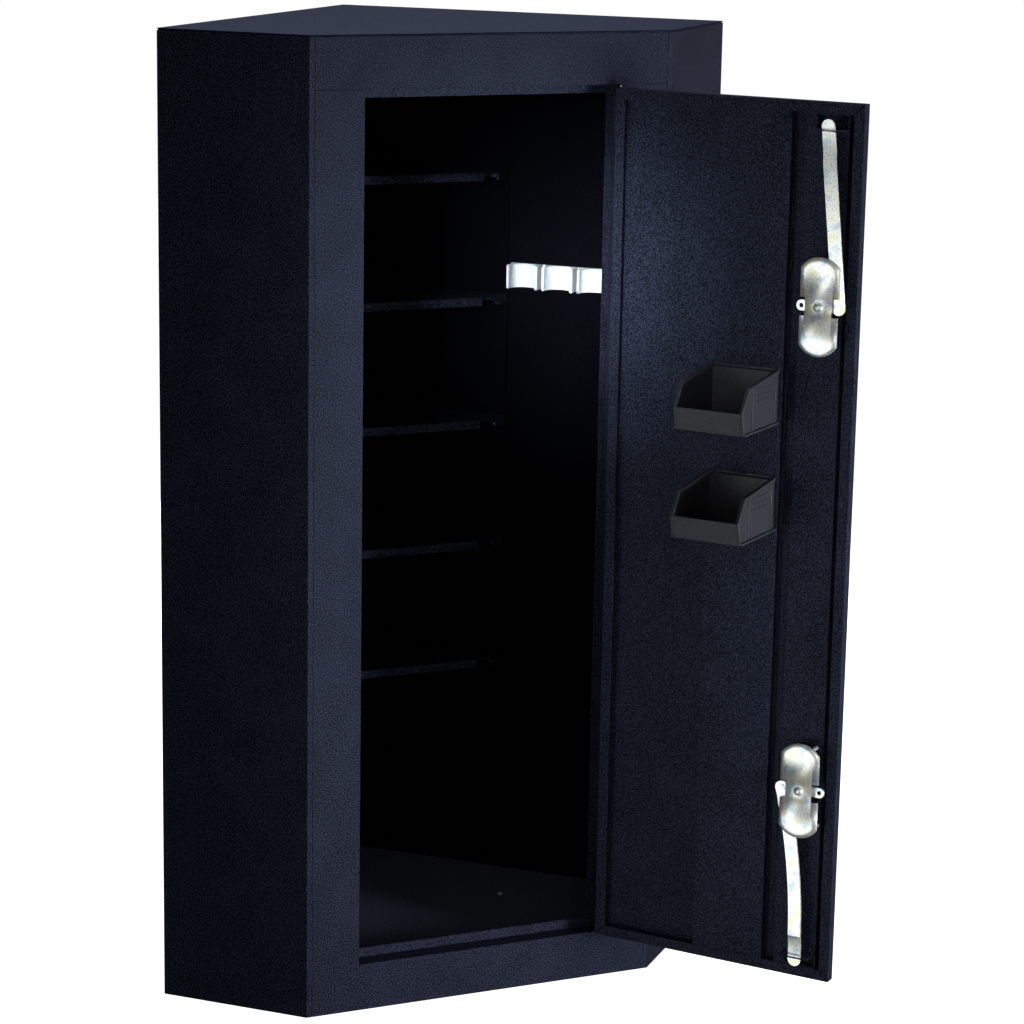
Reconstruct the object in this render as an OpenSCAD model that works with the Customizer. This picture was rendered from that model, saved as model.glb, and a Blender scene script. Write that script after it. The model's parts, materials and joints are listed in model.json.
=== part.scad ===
// Light corner gun cabinet in powder coated sheet steel: five sided plan, one inset full height
// door on a continuous hinge, five corner shelves, two barrel rests and two rod locks.
// Origin: on the floor, on the mirror plane, at the face of the front panels.
// +X is to the right of someone facing the cabinet, +Y goes into the cabinet, +Z is up.

/* [Cabinet shell] */
// Overall height
cabinet_height = 1397; // [1100:1:1700]
// Width of the flat front
front_width = 543; // [460:1:700]
// Length of each angled side panel
side_length = 228.6; // [160:0.1:320]
// Sheet steel thickness
sheet = 1.2; // [0.8:0.1:2]
// Height of the floor above the ground
floor_height = 38; // [25:1:60]
// Width of the flange that folds inwards under each panel
base_flange = 15; // [8:1:25]
// Width of the side panels' fold on the front corners
corner_fold = 8; // [4:1:15]
// Gap between the panels and the lid
lid_gap = 1.6; // [0.5:0.1:4]
// Depth of the rim inside the lid
lid_rim = 18; // [8:1:30]

/* [Door opening] */
// Width of the opening
opening_width = 383; // [320:1:400]
// Height of the sill below the opening
sill_height = 70; // [50:1:120]
// Height of the header above the opening
header_height = 74; // [50:1:140]
// Depth of the rebate that the door closes into
rebate_depth = 27; // [24:1:40]
// Width of the stop flanges on the jambs
jamb_stop = 10; // [5:1:20]
// Height of the stop flanges on the header and the sill
rail_stop = 14; // [8:1:25]

/* [Door] */
// Angle that the door stands open in the rest pose
door_open = 127.4; // [90:0.1:170]
// Thickness of the door pan
door_depth = 16; // [14:0.5:20]
// Width of the lips folded in around the door pan
door_lip = 15; // [10:1:20]
// Gap beside the door on the hinge side
hinge_gap = 2.4; // [2.4:0.1:4]
// Gap beside the door on the free side
free_gap = 7; // [4:0.5:10]
// Gap above the door
top_gap = 4; // [2:0.5:8]
// Gap below the door
bottom_gap = 3; // [2:0.5:8]
// Width of the raised channel that carries the bins
bin_channel_width = 108; // [90:1:120]
// Distance from the hinge side of the door to the bin channel
bin_channel_place = 159; // [120:1:165]
// Width of the raised channel that carries the locks
lock_channel_width = 65; // [56:1:72]
// Distance from the free side of the door to the middle of the lock channel
lock_channel_place = 54; // [48:0.5:60]
// Distance from the free side of the door to the lock spindles
lock_place = 46.5; // [44:0.5:60]

/* [Hinge] */
// Radius of the hinge pin
pin_radius = 1; // [0.8:0.1:1.2]
// Outer radius of the hinge knuckles
knuckle_radius = 2.2; // [1.8:0.1:2.3]
// Thickness of the hinge leaves
leaf = 1; // [0.8:0.1:1]
// Number of knuckles
knuckles = 25; // [11:2:41]
// Running clearance in knuckles and pivots
running_clearance = 0.05; // [0.02:0.01:0.08]

/* [Locks] */
// Distance of each lock from the point midway between them
lock_offset = 343.5; // [250:0.5:400]
// Height of the point midway between the locks above the door's middle
lock_rise = 4.5; // [-20:0.5:20]
// Distance of each rod guide from the door's middle
guide_offset = 587.5; // [500:0.5:600]
// Distance from the spindle to the rod's pivot
crank_radius = 28; // [22:0.5:29]
// Width of the flat lock rods
rod_width = 19; // [12:0.5:20]
// Thickness of the flat lock rods
rod_thickness = 3; // [2:0.5:3]
// Height of each rod's tip above its guide when the lock is open
tip_reach = 14.5; // [10:0.5:16]
// Length of the curved part of the lower rod
rod_curve = 217; // [150:1:225]
// Radius of the lock cylinder's threaded body
lock_body_radius = 9.5; // [8:0.1:11]
// Radius of the turning plug
plug_radius = 6.5; // [5:0.1:7]
// Length of the pressed cover over each lock
cover_length = 137; // [110:1:150]
// Width of the flat face of the cover
cover_face = 37; // [30:1:40]

/* [Shelves and fittings] */
// Number of shelves
shelves = 5; // [1:1:5]
// Height of the lowest shelf
first_shelf = 398; // [300:1:500]
// Pitch of the slots in the shelf standards
slot_pitch = 63.5; // [50:0.5:80]
// Slots from one shelf to the next
slots_per_shelf = 3; // [2:1:3]
// Length of each shelf along the back walls
shelf_side = 281; // [220:1:300]
// Height of the shelf flanges
shelf_flange = 13; // [8:1:20]
// Width of the shelf standards
standard_width = 22; // [18:1:30]
// Depth of the shelf standards
standard_depth = 5; // [4:0.5:8]
// Notches in each barrel rest
notches = 5; // [1:1:5]
// Distance between barrel notches
notch_pitch = 57; // [50:0.5:60]
// Radius of the barrel notches
notch_radius = 20.5; // [15:0.5:21]
// Height of the barrel rests
rest_height = 36; // [25:1:50]
// Height of the barrel rests' lower edge
rest_level = 981; // [800:1:1100]
// Thickness of the floor mat
mat_thickness = 3; // [2:0.5:6]
// Radius of the anchor holes
anchor_radius = 5.5; // [3:0.5:7]

/* [Bins] */
// Outer width of a bin
bin_width = 104; // [80:1:106]
// Height of a bin
bin_height = 76; // [50:1:90]
// Length of a bin's base
bin_length = 113; // [90:1:130]
// Wall thickness of a bin
bin_wall = 2.2; // [1.5:0.1:3]
// Height of the upper bin's top edge
bin_level = 949; // [800:1:1000]
// Distance between the two bins
bin_spacing = 152; // [110:1:200]

/* [Hidden] */
root_two = sqrt(2);
half_front = front_width / 2;
side_run = side_length / root_two;
back_y = half_front + 2 * side_run;
panel_top = cabinet_height - sheet - lid_gap;
half_opening = opening_width / 2;
opening_low = sill_height;
opening_high = cabinet_height - header_height;
seam_x = half_front - corner_fold;

// door, drawn closed and turned open about the hinge pin
door_right = half_opening - hinge_gap;
door_left = free_gap - half_opening;
door_low = opening_low + bottom_gap;
door_high = opening_high - top_gap;
door_middle = (door_low + door_high) / 2;
pin_x = half_opening - hinge_gap / 2;
pin_y = -knuckle_radius - 0.2;
channel_face = door_depth - sheet - 0.4;
channel_flange = 14;
bin_channel_right = door_right - bin_channel_place;
bin_middle = bin_channel_right - bin_channel_width / 2;
lock_channel_middle = door_left + lock_channel_place;
lock_middle = door_left + lock_place;

// lock stack, measured into the cabinet from the door's face
joggle_step = 3;
rod_level = rebate_depth + sheet + 1.3 + joggle_step;
rod_gap = 0.3;
arm_thickness = 2.5;
arm_level = rod_level - rod_gap - arm_thickness;
arm_end_radius = 7.5;
rivet_radius = 3;
rivet_head_radius = 5;
rivet_head = 1;
spindle_radius = 4;
square_side = 9;
cover_gap = 2.4;
cover_level = rod_level + rod_thickness + rivet_head + cover_gap;
cover_flank = 10;
cover_flank_depth = 2;
cover_arch = 34;
cover_waist = 26;
cover_leg_radius = 3;
hard_plate_radius = 30;
hard_plate = 2;
bezel_radius = 13;
bezel = 3;
nut_height = 4;
nut_radius = 14;
guide_clearance = 0.65;
guide_slot = rod_width + guide_clearance * crank_radius;
guide_edge = 4;
guide_width = guide_slot + 2 * guide_edge;
guide_low = rod_level - joggle_step - 1.2;
guide_high = rod_level + rod_thickness + 1.2;
guide_window = 18;
joggle_start = 197;
joggle_length = 15;
curve_angle = 2 * atan(crank_radius / rod_curve);
curve_radius = rod_curve / sin(curve_angle);

// shelves
shelf_gap = standard_depth + 3;
inner_back = back_y - sheet * root_two;
shelf_front = 362;
shelf_rear = inner_back - 30;
shelf_notch = 24;
rear_standard = 69;
front_standard = shelf_side - standard_width / 2;
standard_low = 220;
standard_slots = 17;
slot_low = first_shelf - 13.7 - 2 * slot_pitch;
standard_high = slot_low + (standard_slots - 1) * slot_pitch + 20;
slot_length = 11;
slot_height = 3;
slot_angle = 45;
clip_reach = 12;
clip_width = 9;
clip_thickness = 1.6;

// barrel rests
rest_plate = 2.5;
rest_wall = 4.5;
rest_reach = 30;
rest_rim = 3;
rest_start = shelf_side + 4;
rest_length = notches * notch_pitch;
rest_head_radius = 3;
rest_head = 1.5;

// anchors
wall_anchor_place = 500;
wall_anchor_low = 300;
wall_anchor_high = 1200;
floor_anchor_x = 300;
floor_anchor_y = 150;
floor_anchor_middle = 200;

// bins
bin_hook_drop = 8;
bin_front_height = 32;
bin_front_lean = 7;
bin_side_front = 64;
bin_side_length = 101;
hook_gap = 0.3;
hook_width = 90;
bin_back = channel_face + 2 * sheet + 3 * hook_gap;

CURVE = 64;
BIG_CURVE = 96;

// ---- plan of the shell -------------------------------------------------------------------------

// Corners of the five sided plan, set in from the outside by a distance
function front_corner(inset) = [half_front + inset - inset * root_two, inset];
function side_corner(inset) = [half_front + side_run - inset * root_two, side_run];
function back_corner(inset) = [0, back_y - inset * root_two];
function flip(point) = [-point[0], point[1]];
function plan(inset) = [flip(front_corner(inset)), front_corner(inset), side_corner(inset),
    back_corner(inset), flip(side_corner(inset))];

module mirrored(left) {
    if (left) mirror([1, 0, 0]) children();
    else children();
}

// Puts children on the inner face of the right back wall: X runs along the wall from the back
// corner, Y stands out from the wall, Z is up
module on_back_wall() {
    translate([back_corner(sheet)[0], back_corner(sheet)[1], 0]) rotate([0, 0, -45]) mirror([0, 1, 0])
        children();
}

module side_panel(left) {
    mirrored(left) {
        linear_extrude(panel_top) polygon([[seam_x, 0], front_corner(0), side_corner(0),
            side_corner(sheet), front_corner(sheet), [seam_x, sheet]]);
        linear_extrude(sheet) polygon([front_corner(sheet), side_corner(sheet),
            side_corner(base_flange), front_corner(base_flange)]);
    }
}

module back_panel(left) {
    mirrored(left) difference() {
        union() {
            linear_extrude(panel_top) polygon([side_corner(0), back_corner(0), back_corner(sheet),
                side_corner(sheet)]);
            linear_extrude(sheet) polygon([side_corner(sheet), back_corner(sheet),
                back_corner(base_flange), side_corner(base_flange)]);
        }
        on_back_wall() for (level = [wall_anchor_low, wall_anchor_high])
            translate([wall_anchor_place, 0, level]) rotate([90, 0, 0])
                cylinder(r = anchor_radius, h = 6 * sheet, center = true, $fn = CURVE);
    }
}

// ---- front frame -------------------------------------------------------------------------------

module header_panel() {
    color("#1c1e28") {
        translate([-seam_x, 0, opening_high]) cube([2 * seam_x, sheet, panel_top - opening_high]);
        translate([-half_opening, 0, opening_high])
            cube([opening_width, rebate_depth + sheet, sheet]);
        translate([-half_opening, rebate_depth, opening_high - rail_stop])
            cube([opening_width, sheet, rail_stop + sheet]);
    }
}

module sill_panel() {
    color("#1c1e28") {
        translate([-seam_x, 0, 0]) cube([2 * seam_x, sheet, opening_low]);
        translate([-seam_x, 0, 0]) cube([2 * seam_x, base_flange, sheet]);
        translate([-half_opening, 0, opening_low - sheet])
            cube([opening_width, rebate_depth + sheet, sheet]);
        translate([-half_opening, rebate_depth, opening_low - sheet])
            cube([opening_width, sheet, rail_stop + sheet]);
    }
}

module jamb(left) {
    stop_low = opening_low + rail_stop;
    stop_high = opening_high - rail_stop;
    color("#363b4a") mirrored(left) {
        translate([half_opening, 0, opening_low])
            cube([seam_x - half_opening, sheet, opening_high - opening_low]);
        translate([half_opening, 0, opening_low])
            cube([sheet, rebate_depth + sheet, opening_high - opening_low]);
        translate([half_opening - jamb_stop, rebate_depth, stop_low])
            cube([jamb_stop + sheet, sheet, stop_high - stop_low]);
    }
}

// ---- lid and floor -----------------------------------------------------------------------------

module lid() {
    color("#3c4152") {
        translate([0, 0, cabinet_height - sheet]) linear_extrude(sheet) polygon(plan(0));
        translate([0, 0, cabinet_height - sheet - lid_rim]) linear_extrude(lid_rim) difference() {
            polygon(plan(sheet));
            polygon(plan(2 * sheet));
        }
    }
}

module floor_pan() {
    color("#16171f") difference() {
        union() {
            translate([0, 0, floor_height - sheet]) linear_extrude(sheet) polygon(plan(sheet));
            translate([0, 0, sheet]) linear_extrude(floor_height - sheet) difference() {
                polygon(plan(sheet));
                polygon(plan(2 * sheet));
            }
        }
        floor_anchors();
    }
}

module floor_anchors() {
    for (x = [-floor_anchor_x / 2, floor_anchor_x / 2], y = [-floor_anchor_y / 2, floor_anchor_y / 2])
        translate([x, floor_anchor_middle + y, 0])
            cylinder(r = anchor_radius, h = floor_height + 2 * mat_thickness, $fn = CURVE);
}

module floor_mat() {
    color("#15161f") difference() {
        translate([0, 0, floor_height]) linear_extrude(mat_thickness) polygon(plan(4 * sheet));
        floor_anchors();
    }
}

// ---- shelves -----------------------------------------------------------------------------------

// A slotted upright, with a lanced tab beside each slot
module standard(left, place) {
    color("#0c0c12") mirrored(left) on_back_wall() translate([place - standard_width / 2, 0, 0]) {
        difference() {
            translate([0, 0, standard_low])
                cube([standard_width, standard_depth, standard_high - standard_low]);
            translate([sheet, -sheet, standard_low - 1]) cube([standard_width - 2 * sheet,
                standard_depth, standard_high - standard_low + 2]);
            for (i = [0 : standard_slots - 1]) translate([standard_width / 2, 0, slot_low + i * slot_pitch])
                rotate([0, slot_angle, 0])
                    cube([slot_length, 4 * standard_depth, slot_height], center = true);
        }
    }
}

function shelf_level(i) = first_shelf + i * slots_per_shelf * slot_pitch;

// A spot in plan, from its distance along the right back wall and its distance out from it
function wall_spot(along, out) = [(along - out) / root_two, inner_back - (along + out) / root_two];

// Distance along the wall of the spot at a depth and a distance out from the wall
function along_at(y, out) = (inner_back - y) * root_two - out;

// Outline of a shelf, set in from its edge by a distance
function shelf_half(inset) = [
    wall_spot(shelf_side - inset, along_at(shelf_front + inset, shelf_side - inset)),
    wall_spot(shelf_side - inset, shelf_gap + inset),
    wall_spot(along_at(shelf_rear - inset, shelf_gap + inset), shelf_gap + inset)];
function shelf_plan(inset) = concat(shelf_half(inset), [for (i = [2 : -1 : 0]) flip(shelf_half(inset)[i])]);

// A shelf with its edges turned down; the front flange stops short of both corners
module shelf(i) {
    level = shelf_level(i);
    corner_x = shelf_half(0)[0][0];
    color("#0d0e15") difference() {
        union() {
            translate([0, 0, level - sheet]) linear_extrude(sheet) polygon(shelf_plan(0));
            translate([0, 0, level - shelf_flange]) linear_extrude(shelf_flange) difference() {
                polygon(shelf_plan(0));
                polygon(shelf_plan(sheet));
            }
        }
        for (x = [-corner_x, corner_x - shelf_notch]) translate([x - sheet, shelf_front - sheet,
            level - shelf_flange - sheet]) cube([shelf_notch, 2 * sheet, shelf_flange]);
    }
}

// Four clips under each shelf, hooked into the standards
module shelf_clips() {
    color("#b8b8b0") for (i = [0 : shelves - 1], left = [false, true],
        place = [rear_standard, front_standard])
        mirrored(left) on_back_wall()
            translate([place - clip_width / 2, standard_depth,
                       shelf_level(i) - shelf_flange - clip_thickness])
                cube([clip_width, clip_reach, clip_thickness]);
}

// ---- barrel rests ------------------------------------------------------------------------------

module barrel_rest(left) {
    color("#e1eff5") mirrored(left) on_back_wall() translate([rest_start, 0, rest_level])
        linear_extrude(rest_height) difference() {
            union() {
                square([rest_length, rest_plate]);
                for (i = [0 : notches - 1])
                    translate([(i + 0.5) * notch_pitch - notch_radius - rest_wall, 0])
                    square([2 * (notch_radius + rest_wall), rest_reach]);
            }
            for (i = [0 : notches - 1]) translate([(i + 0.5) * notch_pitch, rest_reach - rest_rim])
                notch_hollow();
        }
}

module notch_hollow() {
    circle(r = notch_radius, $fn = BIG_CURVE);
    translate([-notch_radius, 0]) square([2 * notch_radius, rest_reach]);
}

// Two pan head screws in each rest, between its notches
module barrel_rest_screws() {
    color("#9a9a9a") for (left = [false, true], i = [1, notches - 1])
        mirrored(left) on_back_wall() translate([rest_start + i * notch_pitch, rest_plate,
            rest_level + rest_height / 2]) rotate([-90, 0, 0])
                cylinder(r = rest_head_radius, h = rest_head, $fn = CURVE);
}

// ---- hinge -------------------------------------------------------------------------------------

knuckle_length = (door_high - door_low) / knuckles;

module knuckle_row(first, bore) {
    for (i = [first : 2 : knuckles - 1]) translate([pin_x, pin_y, door_low + i * knuckle_length])
        difference() {
            cylinder(r = knuckle_radius, h = knuckle_length - running_clearance, $fn = CURVE);
            translate([0, 0, -1]) cylinder(r = bore, h = knuckle_length + 2, $fn = CURVE);
        }
}

// The tongues that join a leaf to its knuckles, cut back from the pin
module leaf_tongues(first, x, bore) {
    for (i = [first : 2 : knuckles - 1]) difference() {
        translate([x, pin_y, door_low + i * knuckle_length])
            cube([leaf, -pin_y + 1, knuckle_length - running_clearance]);
        translate([pin_x, pin_y, door_low + i * knuckle_length - 1])
            cylinder(r = bore, h = knuckle_length + 2, $fn = CURVE);
    }
}

module hinge_frame_leaf() {
    color("#2a2c38") {
        translate([half_opening - leaf, 0, door_low]) cube([leaf, rebate_depth - 4, door_high - door_low]);
        leaf_tongues(0, half_opening - leaf, pin_radius);
        knuckle_row(0, pin_radius);
    }
}

module hinge_door_leaf() {
    color("#2a2c38") door_pose() {
        translate([door_right, 0, door_low]) cube([leaf, door_depth - 2, door_high - door_low]);
        leaf_tongues(1, door_right, pin_radius + running_clearance);
        knuckle_row(1, pin_radius + running_clearance);
    }
}

module hinge_pin() {
    color("#c9c9c4") translate([pin_x, pin_y, door_low - 1.5])
        cylinder(r = pin_radius, h = door_high - door_low + 4, $fn = CURVE);
}

// ---- door --------------------------------------------------------------------------------------

function lock_height(side) = door_middle + lock_rise + side * lock_offset;
function guide_height(side) = door_middle + side * guide_offset;

// Turns what is drawn for the closed door to the open rest pose
module door_pose() {
    translate([pin_x, pin_y, 0]) rotate([0, 0, door_open]) translate([-pin_x, -pin_y, 0]) children();
}

module door_pan() {
    width = door_right - door_left;
    height = door_high - door_low;
    color("#0e0f18") door_pose() difference() {
        translate([door_left, 0, door_low]) cube([width, door_depth, height]);
        translate([door_left + sheet, sheet, door_low + sheet])
            cube([width - 2 * sheet, door_depth - 2 * sheet, height - 2 * sheet]);
        translate([door_left + door_lip, door_depth / 2, door_low + door_lip])
            cube([width - 2 * door_lip, door_depth, height - 2 * door_lip]);
        for (side = [-1, 1]) translate([lock_middle, 0, lock_height(side)])
            depth_rod(-sheet, 2 * sheet, lock_body_radius);
    }
}

// A hat shaped stiffener along the inside of the door, with a spot welded flange on each side
module hat_channel(middle, width, hinge_flange, free_flange) {
    inner_low = door_low + sheet;
    length = door_high - door_low - 2 * sheet;
    translate([middle - width / 2, sheet, inner_low]) difference() {
        translate([-free_flange, 0, 0])
            cube([width + hinge_flange + free_flange, channel_face - sheet, length]);
        translate([sheet, -1, -1]) cube([width - 2 * sheet, channel_face - 2 * sheet + 1, length + 2]);
        translate([-free_flange - 1, sheet, -1]) cube([free_flange + 1, channel_face, length + 2]);
        translate([width, sheet, -1]) cube([hinge_flange + 1, channel_face, length + 2]);
    }
}

// Two louvres folded out of the channel hold the bins' hooked lips
module bin_channel() {
    color("#10111a") door_pose() {
        hat_channel(bin_middle, bin_channel_width, channel_flange / 2, channel_flange / 4);
        for (i = [0, 1]) translate([bin_middle - hook_width / 2, channel_face,
            bin_level - i * bin_spacing - bin_hook_drop - sheet]) {
            cube([hook_width, 2 * sheet + 2 * hook_gap, sheet]);
            translate([0, sheet + 2 * hook_gap, 0])
                cube([hook_width, sheet, bin_hook_drop + sheet - bin_wall - running_clearance]);
        }
    }
}

module lock_channel() {
    color("#10111a") door_pose() {
        difference() {
            hat_channel(lock_channel_middle, lock_channel_width, channel_flange, channel_flange / 2);
            for (side = [-1, 1]) {
                translate([lock_middle, 0, lock_height(side)])
                    depth_rod(0, 2 * door_depth, lock_body_radius);
                translate([lock_middle - guide_width / 2, channel_face - 2 * sheet,
                    guide_height(side) - (side < 0 ? guide_window : 0)])
                    cube([guide_width, 4 * sheet, guide_window]);
            }
        }
        for (side = [-1, 1]) guide_tab(side);
    }
}

// A tab folded out of the channel's face, with a wide slot for the rod
module guide_tab(side) {
    translate([lock_middle - guide_width / 2, 0, guide_height(side) - (side > 0 ? sheet : 0)]) difference() {
        translate([0, channel_face - sheet, 0])
            cube([guide_width, guide_high + guide_edge - channel_face + sheet, sheet]);
        translate([guide_edge, guide_low, -sheet]) cube([guide_slot, guide_high - guide_low, 3 * sheet]);
    }
}

// ---- locks -------------------------------------------------------------------------------------

// Places children at a lock's spindle: X and Z in the door's plane, Y into the cabinet. The lower
// lock is the upper one turned half round.
module at_lock(upper) {
    side = upper ? 1 : -1;
    door_pose() translate([lock_middle, 0, lock_height(side)])
        rotate([0, upper ? 0 : 180, 0]) children();
}

// A cylinder along the depth, from one level to another
module depth_rod(from, to, radius) {
    translate([0, to, 0]) rotate([90, 0, 0]) cylinder(r = radius, h = to - from, $fn = CURVE);
}

module hard_plate(upper) {
    color("#17171c") at_lock(upper) difference() {
        depth_rod(channel_face, channel_face + hard_plate, hard_plate_radius);
        depth_rod(0, 2 * door_depth, lock_body_radius);
    }
}

module lock_body(upper) {
    color("#b9bcbd") at_lock(upper) difference() {
        union() {
            depth_rod(-bezel, 0, bezel_radius);
            depth_rod(-bezel / 2, arm_level - rod_gap, lock_body_radius);
        }
        depth_rod(-2 * bezel, 2 * door_depth, plug_radius + running_clearance);
    }
}

module lock_nut(upper) {
    color("#b9bcbd") at_lock(upper) difference() {
        translate([0, sheet + nut_height, 0]) rotate([90, 0, 0])
            cylinder(r = nut_radius, h = nut_height, $fn = 6);
        depth_rod(0, 2 * door_depth, lock_body_radius);
    }
}

module lock_plug(upper) {
    key_slot_height = 8;
    key_slot_width = 2;
    key_slot_depth = 9;
    color("#d0d0cc") at_lock(upper) {
        difference() {
            depth_rod(-bezel - 0.5, arm_level, plug_radius);
            translate([-key_slot_width / 2, -bezel - 1, -key_slot_height / 2])
                cube([key_slot_width, key_slot_depth, key_slot_height]);
        }
        translate([-square_side / 2, arm_level, -square_side / 2])
            cube([square_side, arm_thickness, square_side]);
        depth_rod(arm_level + arm_thickness, cover_level + sheet + running_clearance, spindle_radius);
    }
}

module cam_arm(upper) {
    color("#d6cf9a") at_lock(upper) difference() {
        union() {
            translate([-crank_radius, arm_level, -arm_end_radius])
                cube([2 * crank_radius, arm_thickness, 2 * arm_end_radius]);
            for (side = [-1, 1]) translate([side * crank_radius, 0, 0])
                depth_rod(arm_level, arm_level + arm_thickness, arm_end_radius);
        }
        translate([-square_side / 2, 0, -square_side / 2]) cube([square_side, 2 * rod_level, square_side]);
        for (side = [-1, 1])
            translate([side * crank_radius, 0, 0]) depth_rod(0, 2 * rod_level, rivet_radius);
    }
}

module crank_rivet(upper) {
    color("#e4e2d2") at_lock(upper) translate([-crank_radius, 0, 0]) {
        depth_rod(arm_level, rod_level + rod_thickness + running_clearance, rivet_radius);
        depth_rod(rod_level + rod_thickness + running_clearance,
            rod_level + rod_thickness + running_clearance + rivet_head, rivet_head_radius);
    }
}

// One straight run of the flat rod, from one height to another, at a level
module rod_run(low, high, level) {
    translate([-rod_width / 2, level, low]) cube([rod_width, rod_thickness, high - low]);
}

// The rod from its joggle to its rounded tip
module rod_head(start, tip) {
    level = rod_level - joggle_step;
    translate([-rod_width / 2, 0, 0]) rotate([90, 0, 90]) linear_extrude(rod_width) polygon([
        [rod_level, start], [rod_level + rod_thickness, start],
        [level + rod_thickness, start + joggle_length], [level, start + joggle_length]]);
    rod_run(start + joggle_length, tip - rod_width / 2, level);
    translate([0, 0, tip - rod_width / 2]) depth_rod(level, level + rod_thickness, rod_width / 2);
}

// Height of a rod's tip above its spindle when the lock is open
function tip_height(upper) = abs(guide_height(upper ? 1 : -1) - lock_height(upper ? 1 : -1)) + tip_reach;

// The straight rod runs from its pivot towards the point where its tip crosses the lock's middle
module straight_rod() {
    height = tip_height(true);
    length = sqrt(height * height + crank_radius * crank_radius);
    rotate([0, atan(crank_radius / height), 0]) {
        depth_rod(rod_level, rod_level + rod_thickness, rod_width / 2);
        rod_run(0, joggle_start, rod_level);
        rod_head(joggle_start, length);
    }
}

// The curved rod bends in its own plane until it is upright
module curved_rod() {
    translate([crank_radius - curve_radius, 0, rod_curve]) rotate([90, 0, 0]) rotate([0, 0, -curve_angle])
        rotate_extrude(angle = curve_angle, $fn = BIG_CURVE)
            translate([curve_radius - rod_width / 2, -rod_level - rod_thickness])
                square([rod_width, rod_thickness]);
    translate([crank_radius, 0, 0]) rod_head(rod_curve, tip_height(false));
    depth_rod(rod_level, rod_level + rod_thickness, rod_width / 2);
}

module lock_rod(upper) {
    color("#dedbc4") at_lock(upper) translate([-crank_radius, 0, 0]) difference() {
        if (upper) straight_rod();
        else curved_rod();
        depth_rod(0, 2 * rod_level, rivet_radius + running_clearance);
    }
}

// Outline of the cover, set in from its edge by a distance: straight sides and arched ends
module cover_outline(inset) {
    half_width = cover_face / 2 + cover_flank - inset;
    arch = cover_arch - inset;
    arch_middle = cover_length / 2 - cover_arch;
    intersection() {
        square([2 * half_width, cover_length], center = true);
        union() {
            for (side = [-1, 1]) translate([0, side * arch_middle]) circle(r = arch, $fn = BIG_CURVE);
            square([2 * half_width, 2 * arch_middle], center = true);
        }
    }
}

module cover_layer(from, to, inset) {
    translate([0, to, 0]) rotate([90, 0, 0]) linear_extrude(to - from) cover_outline(inset);
}

// A pressed cover on three legs: the rod and the arm turn freely under it, and the ends of the arm
// show in the notches of its waist
module lock_cover(upper) {
    leg_low = cover_length / 2 - 9;
    leg_high = cover_length / 2 - 15;
    color("#cfd4cf") at_lock(upper) {
        difference() {
            cover_layer(cover_level - cover_flank_depth, cover_level + sheet, 0);
            cover_layer(cover_level - 2 * cover_flank_depth, cover_level, sheet);
            depth_rod(0, 2 * cover_level, spindle_radius + running_clearance);
            for (side = [-1, 1]) translate([side * (cover_face / 2 + cover_flank), cover_level, 0])
                cube([2 * cover_flank - 2, 4 * cover_flank_depth, cover_waist], center = true);
        }
        for (place = [[20, leg_high], [14, -leg_low], [-14, -leg_low]])
            translate([place[0], 0, place[1]]) depth_rod(channel_face, cover_level, cover_leg_radius);
    }
}

module cover_dome(upper) {
    dome = 7;
    color("#eceade") at_lock(upper) translate([0, cover_level + sheet + running_clearance, 0])
        rotate([-90, 0, 0]) intersection() {
            translate([0, 0, -dome / 2]) sphere(r = dome + 1, $fn = CURVE);
            cylinder(r = dome, h = dome, $fn = CURVE);
        }
}

// ---- bins --------------------------------------------------------------------------------------

// Side view of a bin: first its distance from the bin's back, then its height
bin_front = bin_length + bin_front_lean;
bin_side = [[0, 0], [bin_length, 0], [bin_front, bin_front_height], [bin_side_length, bin_side_front],
    [0, bin_height]];
bin_hollow = [[bin_wall, bin_wall], [bin_length - bin_wall, bin_wall],
    [bin_front - bin_wall, bin_front_height], [2 * bin_front, bin_front_height],
    [2 * bin_front, 2 * bin_height], [bin_wall, 2 * bin_height]];

module bin_slice(width, outline) {
    translate([-width / 2, 0, 0]) rotate([90, 0, 90]) linear_extrude(width) polygon(outline);
}

// An open fronted bin with a hooked lip along the top of its back
module bin(i) {
    lip_depth = bin_back - channel_face - hook_gap;
    color("#2d2d32") door_pose()
    translate([bin_middle, bin_back, bin_level - bin_height - i * bin_spacing]) {
        difference() {
            bin_slice(bin_width, bin_side);
            bin_slice(bin_width - 2 * bin_wall, bin_hollow);
        }
        translate([-bin_width / 2, -lip_depth, bin_height - bin_wall])
            cube([bin_width, lip_depth, bin_wall]);
        translate([-bin_width / 2, -lip_depth, bin_height - bin_hook_drop + hook_gap])
            cube([bin_width, sheet, bin_hook_drop - hook_gap]);
    }
}

// ---- assembly ----------------------------------------------------------------------------------

lid();
color("#08080d") side_panel(true);  // left_side_panel
color("#292e3d") side_panel(false);  // right_side_panel
color("#08080d") back_panel(true);  // left_back_panel
color("#08080d") back_panel(false);  // right_back_panel
header_panel();
sill_panel();
jamb(true);  // left_jamb
jamb(false);  // right_jamb
floor_pan();
floor_mat();
standard(true, rear_standard);  // left_rear_standard
standard(true, front_standard);  // left_front_standard
standard(false, rear_standard);  // right_rear_standard
standard(false, front_standard);  // right_front_standard
shelf(0);  // shelf_1
shelf(1);  // shelf_2
shelf(2);  // shelf_3
shelf(3);  // shelf_4
shelf(4);  // shelf_5
shelf_clips();
barrel_rest(true);  // left_barrel_rest
barrel_rest(false);  // right_barrel_rest
barrel_rest_screws();
hinge_frame_leaf();
hinge_pin();
hinge_door_leaf();
door_pan();
bin_channel();
lock_channel();
hard_plate(true);  // upper_hard_plate
lock_body(true);  // upper_lock_body
lock_nut(true);  // upper_lock_nut
lock_plug(true);  // upper_lock_plug
cam_arm(true);  // upper_cam_arm
crank_rivet(true);  // upper_crank_rivet
lock_rod(true);  // upper_lock_rod
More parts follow.
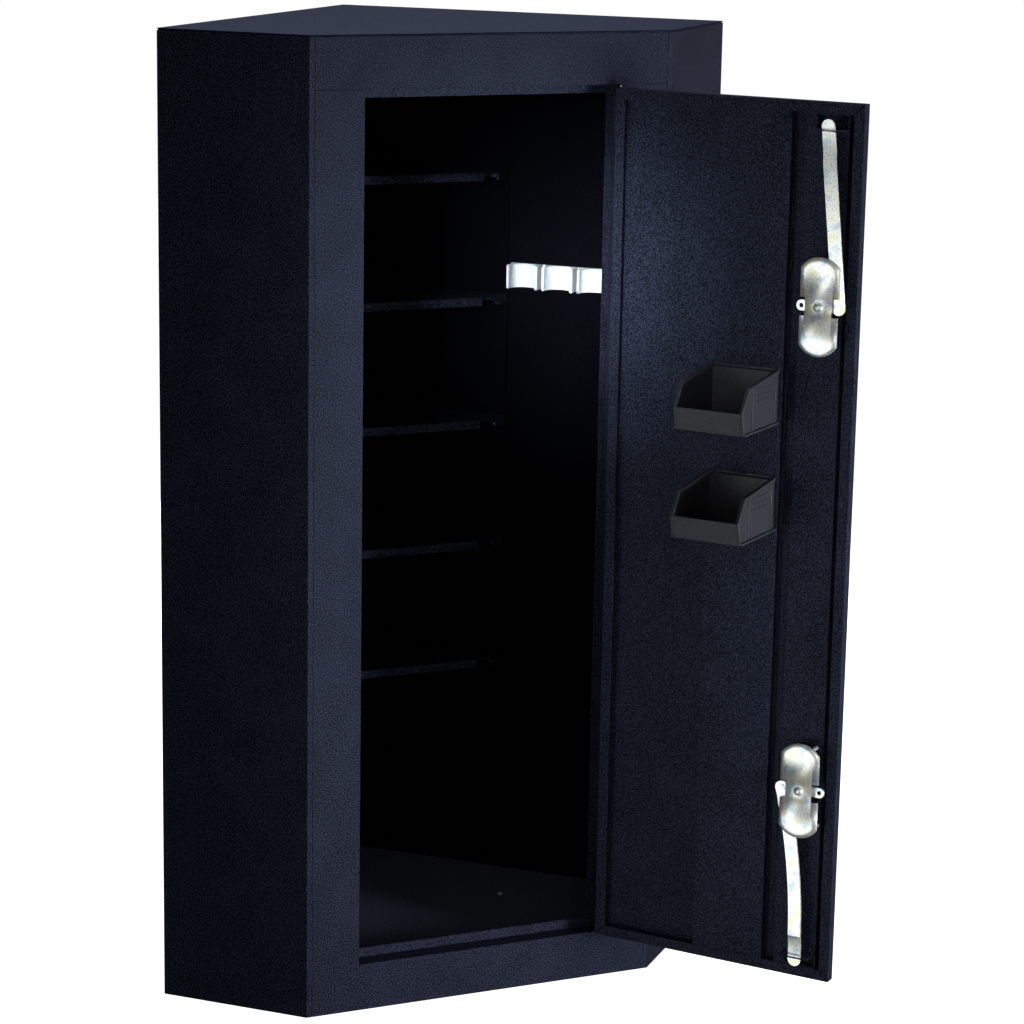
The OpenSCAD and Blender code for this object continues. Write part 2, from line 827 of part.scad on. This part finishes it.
lock_cover(true);  // upper_lock_cover
cover_dome(true);  // upper_cover_dome
hard_plate(false);  // lower_hard_plate
lock_body(false);  // lower_lock_body
lock_nut(false);  // lower_lock_nut
lock_plug(false);  // lower_lock_plug
cam_arm(false);  // lower_cam_arm
crank_rivet(false);  // lower_crank_rivet
lock_rod(false);  // lower_lock_rod
lock_cover(false);  // lower_lock_cover
cover_dome(false);  // lower_cover_dome
bin(0);  // upper_bin
bin(1);  // lower_bin
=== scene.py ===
import json
import math

import bmesh
import bpy
from mathutils import Matrix, Vector


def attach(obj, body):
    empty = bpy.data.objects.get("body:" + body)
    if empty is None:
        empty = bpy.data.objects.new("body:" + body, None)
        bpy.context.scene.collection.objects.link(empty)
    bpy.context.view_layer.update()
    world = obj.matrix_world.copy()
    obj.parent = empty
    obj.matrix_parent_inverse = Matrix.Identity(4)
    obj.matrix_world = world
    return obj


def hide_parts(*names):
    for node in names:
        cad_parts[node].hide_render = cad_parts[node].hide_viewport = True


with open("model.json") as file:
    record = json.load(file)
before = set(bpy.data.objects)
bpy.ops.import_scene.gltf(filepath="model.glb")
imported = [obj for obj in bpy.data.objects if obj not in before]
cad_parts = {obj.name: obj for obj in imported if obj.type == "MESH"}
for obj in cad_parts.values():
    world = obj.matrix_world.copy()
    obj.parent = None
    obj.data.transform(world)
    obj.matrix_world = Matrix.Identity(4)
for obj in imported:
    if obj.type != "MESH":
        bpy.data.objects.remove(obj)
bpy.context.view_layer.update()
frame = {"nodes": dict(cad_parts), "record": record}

nodes = frame["nodes"]
record = frame["record"]


def mm(value):
    """Millimetres to metres."""
    return value / 1000


# ---- camera ------------------------------------------------------------------------------------

camera_place = (-1.6850, -3.8796, 1.6964)
camera_turn = 23.926
camera_pitch = 12.938
camera_roll = 1.041
camera_lens = 107.73


def make_camera():
    """Stands to the left of the cabinet's middle, at head height, and looks slightly down."""
    turn, pitch, roll = [math.radians(angle) for angle in (camera_turn, camera_pitch, camera_roll)]
    ahead = Vector((math.sin(turn) * math.cos(pitch), math.cos(turn) * math.cos(pitch), -math.sin(pitch)))
    right = Vector((math.cos(turn), -math.sin(turn), 0))
    up = right.cross(ahead)
    across = right * math.cos(roll) + up * math.sin(roll)
    above = up * math.cos(roll) - right * math.sin(roll)
    camera = bpy.data.objects.new("camera", bpy.data.cameras.new("camera"))
    bpy.context.collection.objects.link(camera)
    matrix = Matrix((across, above, -ahead)).transposed().to_4x4()
    matrix.translation = Vector(camera_place)
    camera.matrix_world = matrix
    camera.data.lens = camera_lens
    camera.data.sensor_width = 36
    bpy.context.scene.camera = camera


# ---- materials ---------------------------------------------------------------------------------

def linear(code):
    """An sRGB hex colour as linear RGBA."""
    parts = [int(code[i:i + 2], 16) / 255 for i in (1, 3, 5)]
    return [v / 12.92 if v <= 0.04045 else ((v + 0.055) / 1.055) ** 2.4 for v in parts] + [1.0]


def add(tree, kind, settings=None, links=None):
    """Adds a node. Links give each input's name or number and the output that feeds it."""
    node = tree.nodes.new(kind)
    for name, value in (settings or {}).items():
        if isinstance(name, int) or name in node.inputs:
            node.inputs[name].default_value = value
        else:
            setattr(node, name, value)
    for name, output in (links or {}).items():
        tree.links.new(output, node.inputs[name])
    return node


def ramp(tree, source, stops):
    """A colour ramp with the given (place, hex colour) stops."""
    node = add(tree, "ShaderNodeValToRGB", {}, {"Fac": source})
    points = node.color_ramp.elements
    while len(points) < len(stops):
        points.new(0.5)
    for point, (place, code) in zip(points, stops):
        point.position = place
        point.color = linear(code)
    return node.outputs["Color"]


def start(name, settings):
    """A material with one Principled shader, and its tree, shader and object coordinates."""
    material = bpy.data.materials.new(name)
    material.use_nodes = True
    tree = material.node_tree
    shader = tree.nodes["Principled BSDF"]
    for socket, value in settings.items():
        shader.inputs[socket].default_value = value
    place = add(tree, "ShaderNodeTexCoord").outputs["Object"]
    return material, tree, shader, place


def noise(tree, place, size_mm, detail=2.0, rough=0.5):
    """Noise whose lumps are about size_mm across."""
    return add(tree, "ShaderNodeTexNoise", {"Scale": 1000 / size_mm, "Detail": detail, "Roughness": rough},
               {"Vector": place}).outputs["Fac"]


def bump(tree, shader, height, depth_mm, strength=1.0):
    """Raises the surface by a height pattern."""
    node = add(tree, "ShaderNodeBump", {"Strength": strength, "Distance": mm(depth_mm)}, {"Height": height})
    tree.links.new(node.outputs["Normal"], shader.inputs["Normal"])


# the real grain is about 0.6 mm, drawn larger so that it shows at this distance
grain_size = 1.9
grain_dark_end = 0.48
grain_light_end = 0.66


def powder_coat(name, dark, light, roughness=0.42, depth_mm=0.9, gloss=0.16, behind=None):
    """Wrinkle powder coat on steel: a fine pebbled skin, each grain catching a point of light.

    Faces that look backwards take the outside grain colour, behind, where one is given; the other faces
    keep dark and light, which are painted shade on the inside coat.
    """
    material, tree, shader, place = start(name, {"Specular IOR Level": gloss,
                                                 "Specular Tint": linear("#c4d0f2")})
    grain = noise(tree, place, grain_size, 2.0, 0.6)
    cloud = noise(tree, place, 60, 2.0, 0.5)
    mixed = add(tree, "ShaderNodeMath", {"operation": "MULTIPLY_ADD", 1: 0.08}, {0: cloud, 2: grain})
    color = ramp(tree, mixed.outputs[0], [(grain_dark_end, dark), (grain_light_end, light)])
    if behind:
        # outward faces keep the real outside colour; inward faces keep the darker ramp of painted shade
        outward_color = ramp(tree, mixed.outputs[0], [(grain_dark_end, dark), (grain_light_end, behind)])
        normal = add(tree, "ShaderNodeTexCoord").outputs["Normal"]
        facing = add(tree, "ShaderNodeSeparateXYZ", {}, {"Vector": normal})
        outside = add(tree, "ShaderNodeMath", {"operation": "GREATER_THAN", 1: 0.3},
                      {0: facing.outputs["Y"]})
        mix = add(tree, "ShaderNodeMixRGB", {}, {"Fac": outside.outputs[0], "Color1": color,
                                                 "Color2": outward_color})
        color = mix.outputs["Color"]
    tree.links.new(color, shader.inputs["Base Color"])
    rough = add(tree, "ShaderNodeMapRange",
                {"From Min": 0.35, "From Max": 0.65, "To Min": roughness - 0.1, "To Max": roughness + 0.15},
                {"Value": grain})
    tree.links.new(rough.outputs[0], shader.inputs["Roughness"])
    bump(tree, shader, grain, depth_mm, 1.0)
    return material


def zinc_plate(name):
    """Passivated zinc plate: silver with a faint straw tint in clouds, under a thin matt film."""
    material, tree, shader, place = start(name, {"Metallic": 0.72, "Roughness": 0.34})
    cloud = noise(tree, place, 16, 2.0, 0.5)
    color = ramp(tree, cloud, [(0.32, "#c3d0d6"), (0.5, "#f2f3ea"), (0.7, "#ece6c4")])
    tree.links.new(color, shader.inputs["Base Color"])
    fine = noise(tree, place, 1.6, 3.0, 0.7)
    rough = add(tree, "ShaderNodeMapRange",
                {"From Min": 0.3, "From Max": 0.7, "To Min": 0.2, "To Max": 0.46}, {"Value": fine})
    tree.links.new(rough.outputs[0], shader.inputs["Roughness"])
    bump(tree, shader, fine, 0.12, 0.5)
    return material


def nickel_plate(name):
    """Nickel plated lock hardware: smooth and bright with faint handling marks."""
    material, tree, shader, place = start(name, {"Metallic": 1.0, "Base Color": linear("#c4c6c4")})
    fine = noise(tree, place, 3, 2.0, 0.6)
    rough = add(tree, "ShaderNodeMapRange",
                {"From Min": 0.3, "From Max": 0.7, "To Min": 0.14, "To Max": 0.3}, {"Value": fine})
    tree.links.new(rough.outputs[0], shader.inputs["Roughness"])
    return material


def moulded_plastic(name, dark, light, grain_mm, roughness, depth_mm):
    """Injection moulded plastic with a fine spark eroded grain."""
    material, tree, shader, place = start(name, {"Roughness": roughness, "IOR": 1.5})
    grain = noise(tree, place, grain_mm, 2.0, 0.6)
    tree.links.new(ramp(tree, grain, [(0.35, dark), (0.65, light)]), shader.inputs["Base Color"])
    bump(tree, shader, grain, depth_mm, 0.5)
    return material


def needled_mat(name):
    """Needled floor mat: short fibres, matt and slightly uneven in colour."""
    material, tree, shader, place = start(name, {"Roughness": 0.92, "Specular IOR Level": 0.2})
    fibre = noise(tree, place, 2.4, 4.0, 0.7)
    tree.links.new(ramp(tree, fibre, [(0.35, "#3c3c50"), (0.65, "#7c8098")]), shader.inputs["Base Color"])
    bump(tree, shader, fibre, 1.2, 0.8)
    return material


black_coat = powder_coat("wrinkle_powder_coat_black", "#030305", "#363b4d")
# the same black coat darkened as painted shade for the back panels and standards, where little light falls
# inside; their outward back faces keep the outside colour
inside_shade_coat = powder_coat("painted_inside_shade_black", "#000001", "#08080d", 0.6, 0.9, 0.05, "#363b4d")
lid_coat = powder_coat("smooth_powder_coat_lid", "#0c0f1c", "#1a2038", 0.4, 0.3)
zinc = zinc_plate("zinc_plated_steel")
nickel = nickel_plate("nickel_plated_brass")
bin_plastic = moulded_plastic("polypropylene_dark_grey", "#1b1b1f", "#313136", 2.2, 0.5, 0.25)
white_plastic = moulded_plastic("polyethylene_white", "#e2edf2", "#f4fafc", 3.0, 0.38, 0.1)
mat_rubber = needled_mat("needled_mat_charcoal")
inside_nodes = ["left_back_panel", "right_back_panel", "left_rear_standard", "left_front_standard",
                "right_rear_standard", "right_front_standard"]
finishes = {"powder_coat": black_coat, "zinc": zinc, "lock_metal": nickel, "rubber_mat": mat_rubber,
            "white_plastic": white_plastic, "bin_plastic": bin_plastic}
slots = {part["node"]: part["material_slot"] for part in record["subparts"]}
bodies = {name: body for body, names in record["behaviour"]["bodies"].items() for name in names}


# ---- mesh tools --------------------------------------------------------------------------------

def finish_piece(name, mesh, node, replaced, bevel_mm, angle=28, material=None):
    """Makes the mesh a piece on a node's body that stands for the replaced nodes, with rounded edges."""
    obj = bpy.data.objects.new(name, mesh)
    bpy.context.collection.objects.link(obj)
    mesh.materials.clear()
    mesh.materials.append(material or finishes[slots[node]])
    if bevel_mm:
        edges = obj.modifiers.new("rounded_edges", "BEVEL")
        edges.width = mm(bevel_mm)
        edges.segments = 2
        edges.limit_method = "ANGLE"
        edges.angle_limit = math.radians(angle)
    for face in mesh.polygons:
        face.use_smooth = True
    mesh.set_sharp_from_angle(angle=math.radians(angle))
    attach(obj, bodies[node])
    if replaced:
        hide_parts(*replaced)
    return obj


def rounded_copy(node, bevel_mm, material=None):
    """A node's own shape with its folds and cut edges rounded."""
    shape = bmesh.new()
    shape.from_mesh(nodes[node].data)
    bmesh.ops.remove_doubles(shape, verts=shape.verts, dist=1e-6)
    bmesh.ops.dissolve_limit(shape, angle_limit=math.radians(0.5), verts=shape.verts, edges=shape.edges)
    mesh = bpy.data.meshes.new(node + "_finished")
    shape.to_mesh(mesh)
    shape.free()
    return finish_piece(node + "_finished", mesh, node, [node], bevel_mm, material=material)


def box_part(shape, low, high):
    """Adds a box between two corners, in millimetres."""
    middle = [mm(a + b) / 2 for a, b in zip(low, high)]
    size = [mm(b - a) for a, b in zip(low, high)]
    matrix = Matrix.Translation(middle) @ Matrix.Diagonal(size + [1])
    bmesh.ops.create_cube(shape, size=1, matrix=matrix)


def prism_part(shape, outline, start, end):
    """Adds a prism: an outline of (depth, height) points swept along X, in millimetres."""
    face = shape.faces.new([shape.verts.new((mm(start), mm(y), mm(z))) for y, z in outline])
    swept = bmesh.ops.extrude_face_region(shape, geom=[face])["geom"]
    corners = [v for v in swept if isinstance(v, bmesh.types.BMVert)]
    bmesh.ops.translate(shape, verts=corners, vec=(mm(end - start), 0, 0))


def make_piece(name, shape, matrix, node, replaced, bevel_mm, angle=28, material=None):
    """Finishes a bmesh, puts it in its place and makes it a piece."""
    shape.transform(matrix)
    bmesh.ops.recalc_face_normals(shape, faces=shape.faces)
    mesh = bpy.data.meshes.new(name)
    shape.to_mesh(mesh)
    shape.free()
    return finish_piece(name, mesh, node, replaced, bevel_mm, angle, material)


# ---- places on the open door -------------------------------------------------------------------

joints = {joint["name"]: joint for joint in record["behaviour"]["joints"]}
hinge = Vector(joints["door_hinge"]["pos_m"])
opened = math.radians(-joints["door_hinge"]["range_deg"][0])
door_turn = Matrix.Translation(hinge) @ Matrix.Rotation(opened, 4, "Z") @ Matrix.Translation(-hinge)


def lock_place(joint, half_turn):
    """The frame of a lock's spindle: X and Z in the door's plane, Y from the door's face inwards."""
    spindle = door_turn.inverted() @ Vector(joints[joint]["pos_m"])
    turned = Matrix.Rotation(math.pi if half_turn else 0, 4, "Y")
    return door_turn @ Matrix.Translation((spindle.x, 0, spindle.z)) @ turned


# ---- lock covers -------------------------------------------------------------------------------

cover_top = 40.1
cover_half_width = 28.5
cover_arch = 34
cover_arch_middle = 34.5
cover_shoulder = math.sqrt(cover_arch ** 2 - cover_half_width ** 2)
# the inset and the rise of each ring, from the rim inwards
cover_rings = [(0.8, 1.5), (1.6, 0.95), (2.4, 0.5), (2.6, 0.25)]
cover_roll = 3.2
cover_sheet = 1.1
arch_steps = 16
waist_half = 13
waist_place = 19.5
leg_places = [(20, 53.5), (14, -59.5), (-14, -59.5)]
leg_radius = 3
leg_length = 24.4
leg_middle = 26.6


def cover_half(shape, side):
    """One arched end of the cover's outline, from its right shoulder round to its left one."""
    shoulder = mm(side * (cover_arch_middle + cover_shoulder))
    first = shape.verts.new((mm(side * cover_half_width), 0, shoulder))
    sweep = math.pi - 2 * math.atan2(cover_shoulder, cover_half_width)
    bmesh.ops.spin(shape, geom=[first], cent=(0, 0, mm(side * cover_arch_middle)), axis=(0, -1, 0),
                   angle=sweep, steps=arch_steps, use_merge=False, use_duplicate=False)
    shape.verts.ensure_lookup_table()
    return list(shape.verts)[-arch_steps - 1:]


def make_cover(name, joint, half_turn, node):
    """A pressed cover: a flat face, flanks rolled down to the rim and cut at the waist, three legs."""
    shape = bmesh.new()
    face = shape.faces.new(cover_half(shape, 1) + cover_half(shape, -1))
    bmesh.ops.delete(shape, geom=[e for e in shape.edges if not e.link_faces], context="EDGES")
    bmesh.ops.translate(shape, verts=shape.verts, vec=(0, mm(cover_top - cover_roll), 0))
    if face.normal.y < 0:
        face.normal_flip()
    face.normal_update()
    for width, rise in cover_rings:
        bmesh.ops.inset_region(shape, faces=[face], thickness=mm(width), depth=mm(rise),
                               use_even_offset=True, use_boundary=True)
    for x, z in ((0, waist_half), (0, -waist_half), (waist_place, 0), (-waist_place, 0)):
        bmesh.ops.bisect_plane(shape, geom=list(shape.verts) + list(shape.edges) + list(shape.faces),
                               plane_co=(mm(x), 0, mm(z)), plane_no=(float(x != 0), 0, float(z != 0)))
    notch = [f for f in shape.faces if abs(f.calc_center_median().x) > mm(waist_place)
             and abs(f.calc_center_median().z) < mm(waist_half)]
    bmesh.ops.delete(shape, geom=notch, context="FACES")
    place = lock_place(joint, half_turn)
    pressing = make_piece(name, shape, place, node, [node], 0)
    wall = pressing.modifiers.new("sheet_thickness", "SOLIDIFY")
    wall.thickness = mm(cover_sheet)
    wall.offset = -1
    shape = bmesh.new()
    for x, z in leg_places:
        turn = Matrix.Translation((mm(x), mm(leg_middle), mm(z))) @ Matrix.Rotation(math.pi / 2, 4, "X")
        bmesh.ops.create_cone(shape, cap_ends=True, segments=24, radius1=mm(leg_radius),
                              radius2=mm(leg_radius), depth=mm(leg_length), matrix=turn)
    make_piece(name + "_legs", shape, place, node, [], 0)


# ---- bins --------------------------------------------------------------------------------------

bin_middle = -23.9
bin_back = 17.7
bin_width = 104
bin_height = 76
bin_wall = 2.2
bin_front = 113
rail_height = 3.2
rail_overhang = 2.4
side_inset = 1.4
side_wall = 2
rim_width = 5
panel_edge = 3
back_height = 72
rib_places = [10, 84]
rib_width = 3
rib_top = 62
bar_levels = [40, 48, 56]
bar_start = 22
bar_end = 74
bar_sink = 0.6
hook_far = -3
hook_near = -1.8
hook_foot = 68.3
hook_width = 8
bin_side = [(0, 0), (113, 0), (120, 32), (101, 64), (0, 76)]
bin_rim = [(113, 0), (120, 32), (101, 64), (0, 76), (0, 71), (98.2, 59.3), (114.6, 31.6), (108.4, 2)]


def make_bin(name, node, top):
    """A moulded bin: rolled rims round its open front, ribbed sides, foot rails and a hooked lip."""
    shape = bmesh.new()
    half = bin_width / 2
    inner = half - panel_edge
    for side in (-1, 1):
        prism_part(shape, bin_side, side * (half - side_inset - side_wall), side * (half - side_inset))
        prism_part(shape, bin_rim, side * (half - rim_width), side * half)
        rail = [(0, 0), (110, 0), (110, rail_height), (0, rail_height)]
        prism_part(shape, rail, side * (half - side_wall), side * (half + rail_overhang))
        for y in rib_places:
            rib = [(y, 3), (y + rib_width, 3), (y + rib_width, rib_top), (y, rib_top)]
            prism_part(shape, rib, side * (half - side_wall), side * half)
        for z in bar_levels:
            bar = [(bar_start, z), (bar_end, z), (bar_end, z + rib_width), (bar_start, z + rib_width)]
            prism_part(shape, bar, side * (half - side_wall), side * (half - bar_sink))
    box_part(shape, (-inner, 0, 0), (inner, bin_wall, back_height))
    box_part(shape, (-inner, 0, 0), (inner, bin_front, bin_wall))
    prism_part(shape, [(110.6, 0), (bin_front, 0), (120, 32), (117.4, 32)], -inner, inner)
    box_part(shape, (-half + side_wall, hook_far, hook_foot), (half - side_wall, hook_near, bin_height))
    for x in (-half + side_wall, -hook_width / 2, half - side_wall - hook_width):
        box_part(shape, (x, hook_far, bin_height - bin_wall), (x + hook_width, bin_wall, bin_height))
    place = door_turn @ Matrix.Translation((mm(bin_middle), mm(bin_back), mm(top - bin_height)))
    make_piece(name, shape, place, node, [node], 0.6, 30)


# ---- the object --------------------------------------------------------------------------------

door_edges = [(-184.5, 1), (189.1, -1)]
door_ends = [(73, 1), (1319, -1)]
seam_reach = 7.7
seam_level = 16.02
seam_size = (mm(20), mm(0.12), mm(0.9), 1)


def make_mitres():
    """Mitre seams where the door's lips meet: a fine sunk line filled with dark coat."""
    shape = bmesh.new()
    for x, side_x in door_edges:
        for z, side_z in door_ends:
            lean = math.radians(45) * -side_x * side_z
            turn = Matrix.Translation((mm(x + side_x * seam_reach), mm(seam_level),
                                       mm(z + side_z * seam_reach)))
            size = Matrix.Diagonal(seam_size)
            bmesh.ops.create_cube(shape, size=1, matrix=turn @ Matrix.Rotation(lean, 4, "Y") @ size)
    make_piece("door_mitre_seams", shape, door_turn, "door_pan", [], 0, material=inside_shade_coat)


round_edges = {"lid": 0.9, "left_side_panel": 0.5, "right_side_panel": 0.5, "left_back_panel": 0.5,
               "right_back_panel": 0.5, "header_panel": 0.5, "sill_panel": 0.5, "left_jamb": 0.5,
               "right_jamb": 0.5, "floor_pan": 0.4, "floor_mat": 1.0, "door_pan": 0.55,
               "bin_channel": 1.2, "lock_channel": 0.5, "shelf_1": 0.5, "shelf_2": 0.5, "shelf_3": 0.5,
               "shelf_4": 0.5, "shelf_5": 0.5, "left_rear_standard": 0.3, "left_front_standard": 0.3,
               "right_rear_standard": 0.3, "right_front_standard": 0.3, "left_barrel_rest": 0.8,
               "right_barrel_rest": 0.8, "upper_lock_rod": 0.5, "lower_lock_rod": 0.5,
               "upper_cam_arm": 0.5, "lower_cam_arm": 0.5}
made_again = ["upper_lock_cover", "lower_lock_cover", "upper_bin", "lower_bin"]
for end, half_turn in (("upper", False), ("lower", True)):
    make_cover(end + "_cover_pressing", end + "_lock_turn", half_turn, end + "_lock_cover")
for end, top in (("upper", 949), ("lower", 797)):
    make_bin(end + "_moulded_bin", end + "_bin", top)
make_mitres()
for node in nodes:
    if node in made_again:
        continue
    if node in round_edges:
        coat = lid_coat if node == "lid" else inside_shade_coat if node in inside_nodes else None
        rounded_copy(node, round_edges[node], coat)
    else:
        nodes[node].data.materials.clear()
        nodes[node].data.materials.append(finishes[slots[node]])


# ---- studio ------------------------------------------------------------------------------------

def area_light(name, place, target, size, power, color="#ffffff", spread=180):
    """A soft rectangular light at a place, aimed at a target."""
    light = bpy.data.objects.new(name, bpy.data.lights.new(name, "AREA"))
    light.data.shape = "RECTANGLE"
    light.data.size, light.data.size_y = size
    light.data.energy = power
    light.data.spread = math.radians(spread)
    light.data.color = linear(color)[:3]
    light.location = place
    light.rotation_euler = (Vector(target) - Vector(place)).to_track_quat("-Z", "Y").to_euler()
    light.visible_camera = False
    bpy.context.collection.objects.link(light)


panel_distance = 1.3


def mirrored(joint, half_turn, distance):
    """A lock cover's middle, and the place this far off that its flat face mirrors to the camera."""
    place = lock_place(joint, half_turn)
    middle = place @ Vector((0, mm(cover_top), 0))
    across = (place.to_3x3() @ Vector((0, 1, 0))).normalized()
    seen = (middle - bpy.context.scene.camera.location).normalized()
    return middle, middle + seen.reflect(across) * distance


def make_studio():
    """A pale floor, a white surround that lights softly, and lights in front, above and behind."""
    shape = bmesh.new()
    bmesh.ops.create_grid(shape, x_segments=1, y_segments=1, size=9)
    mesh = bpy.data.meshes.new("studio_floor")
    shape.to_mesh(mesh)
    shape.free()
    floor = bpy.data.objects.new("studio_floor", mesh)
    bpy.context.collection.objects.link(floor)
    floor.visible_glossy = False
    floor.visible_diffuse = False
    paper = start("matt_studio_paper", {
        "Base Color": linear("#f0f0f0"), "Roughness": 0.95, "Emission Color": linear("#ffffff"),
        "Emission Strength": 1.0})[0]
    mesh.materials.append(paper)
    world = bpy.data.worlds.new("studio")
    bpy.context.scene.world = world
    world.use_nodes = True
    tree = world.node_tree
    background = tree.nodes["Background"]
    background.inputs["Color"].default_value = linear("#ffffff")
    ray = add(tree, "ShaderNodeLightPath")
    seen = add(tree, "ShaderNodeMath", {"operation": "MULTIPLY_ADD", 1: 0.94, 2: 0.06},
               {0: ray.outputs["Is Camera Ray"]})
    soft = add(tree, "ShaderNodeMath", {"operation": "MULTIPLY_ADD", 1: 0.04},
               {0: ray.outputs["Is Diffuse Ray"], 2: seen.outputs[0]})
    tree.links.new(soft.outputs[0], background.inputs["Strength"])
    area_light("key", (2.3, -3.0, 0.6), (0, 0.1, 0.62), (1.0, 1.0), 14.2, "#f2f5ff", 50)
    area_light("door_fill", (-0.55, -1.9, 0.9), (0.42, -0.3, 0.7), (0.7, 1.2), 0.7, "#ffffff", 60)
    area_light("rest_light", (-0.9, -1.3, 1.35), (0.3, 0.28, 1.0), (0.3, 0.3), 0.7, "#f0f8ff", 14)
    upper, upper_panel = mirrored("upper_lock_turn", False, panel_distance)
    lower, lower_panel = mirrored("lower_lock_turn", True, panel_distance)
    area_light("lock_panel", (upper_panel + lower_panel) / 2, (upper + lower) / 2, (0.5, 1.7), 0.95,
               "#f4fbff", 60)
    area_light("low_front", (0.9, -1.7, 0.05), (0.1, 0, 0.5), (1.8, 1.0), 6, "#dfe6ff")
    area_light("right_back", (3.0, 1.6, 1.0), (0.4, 0.2, 0.8), (1.6, 2.0), 2, "#dfe6ff")
    area_light("back_left", (-0.9, 3.2, 0.7), (-0.2, 0.4, 0.7), (1.4, 1.1), 45, "#f2f5ff")
    area_light("back_right", (0.9, 3.2, 0.7), (0.2, 0.4, 0.7), (1.4, 1.1), 45, "#f2f5ff")
    area_light("overhead", (0, 0.7, 3.4), (0, 0.6, 1.4), (1.6, 1.2), 28, "#dfe6ff")
    area_light("behind_above", (1.0, 3.6, 2.6), (0, 0.3, 1.3), (2.4, 1.2), 4, "#b8caff")


make_camera()
make_studio()
bpy.context.scene.view_settings.view_transform = "Standard"
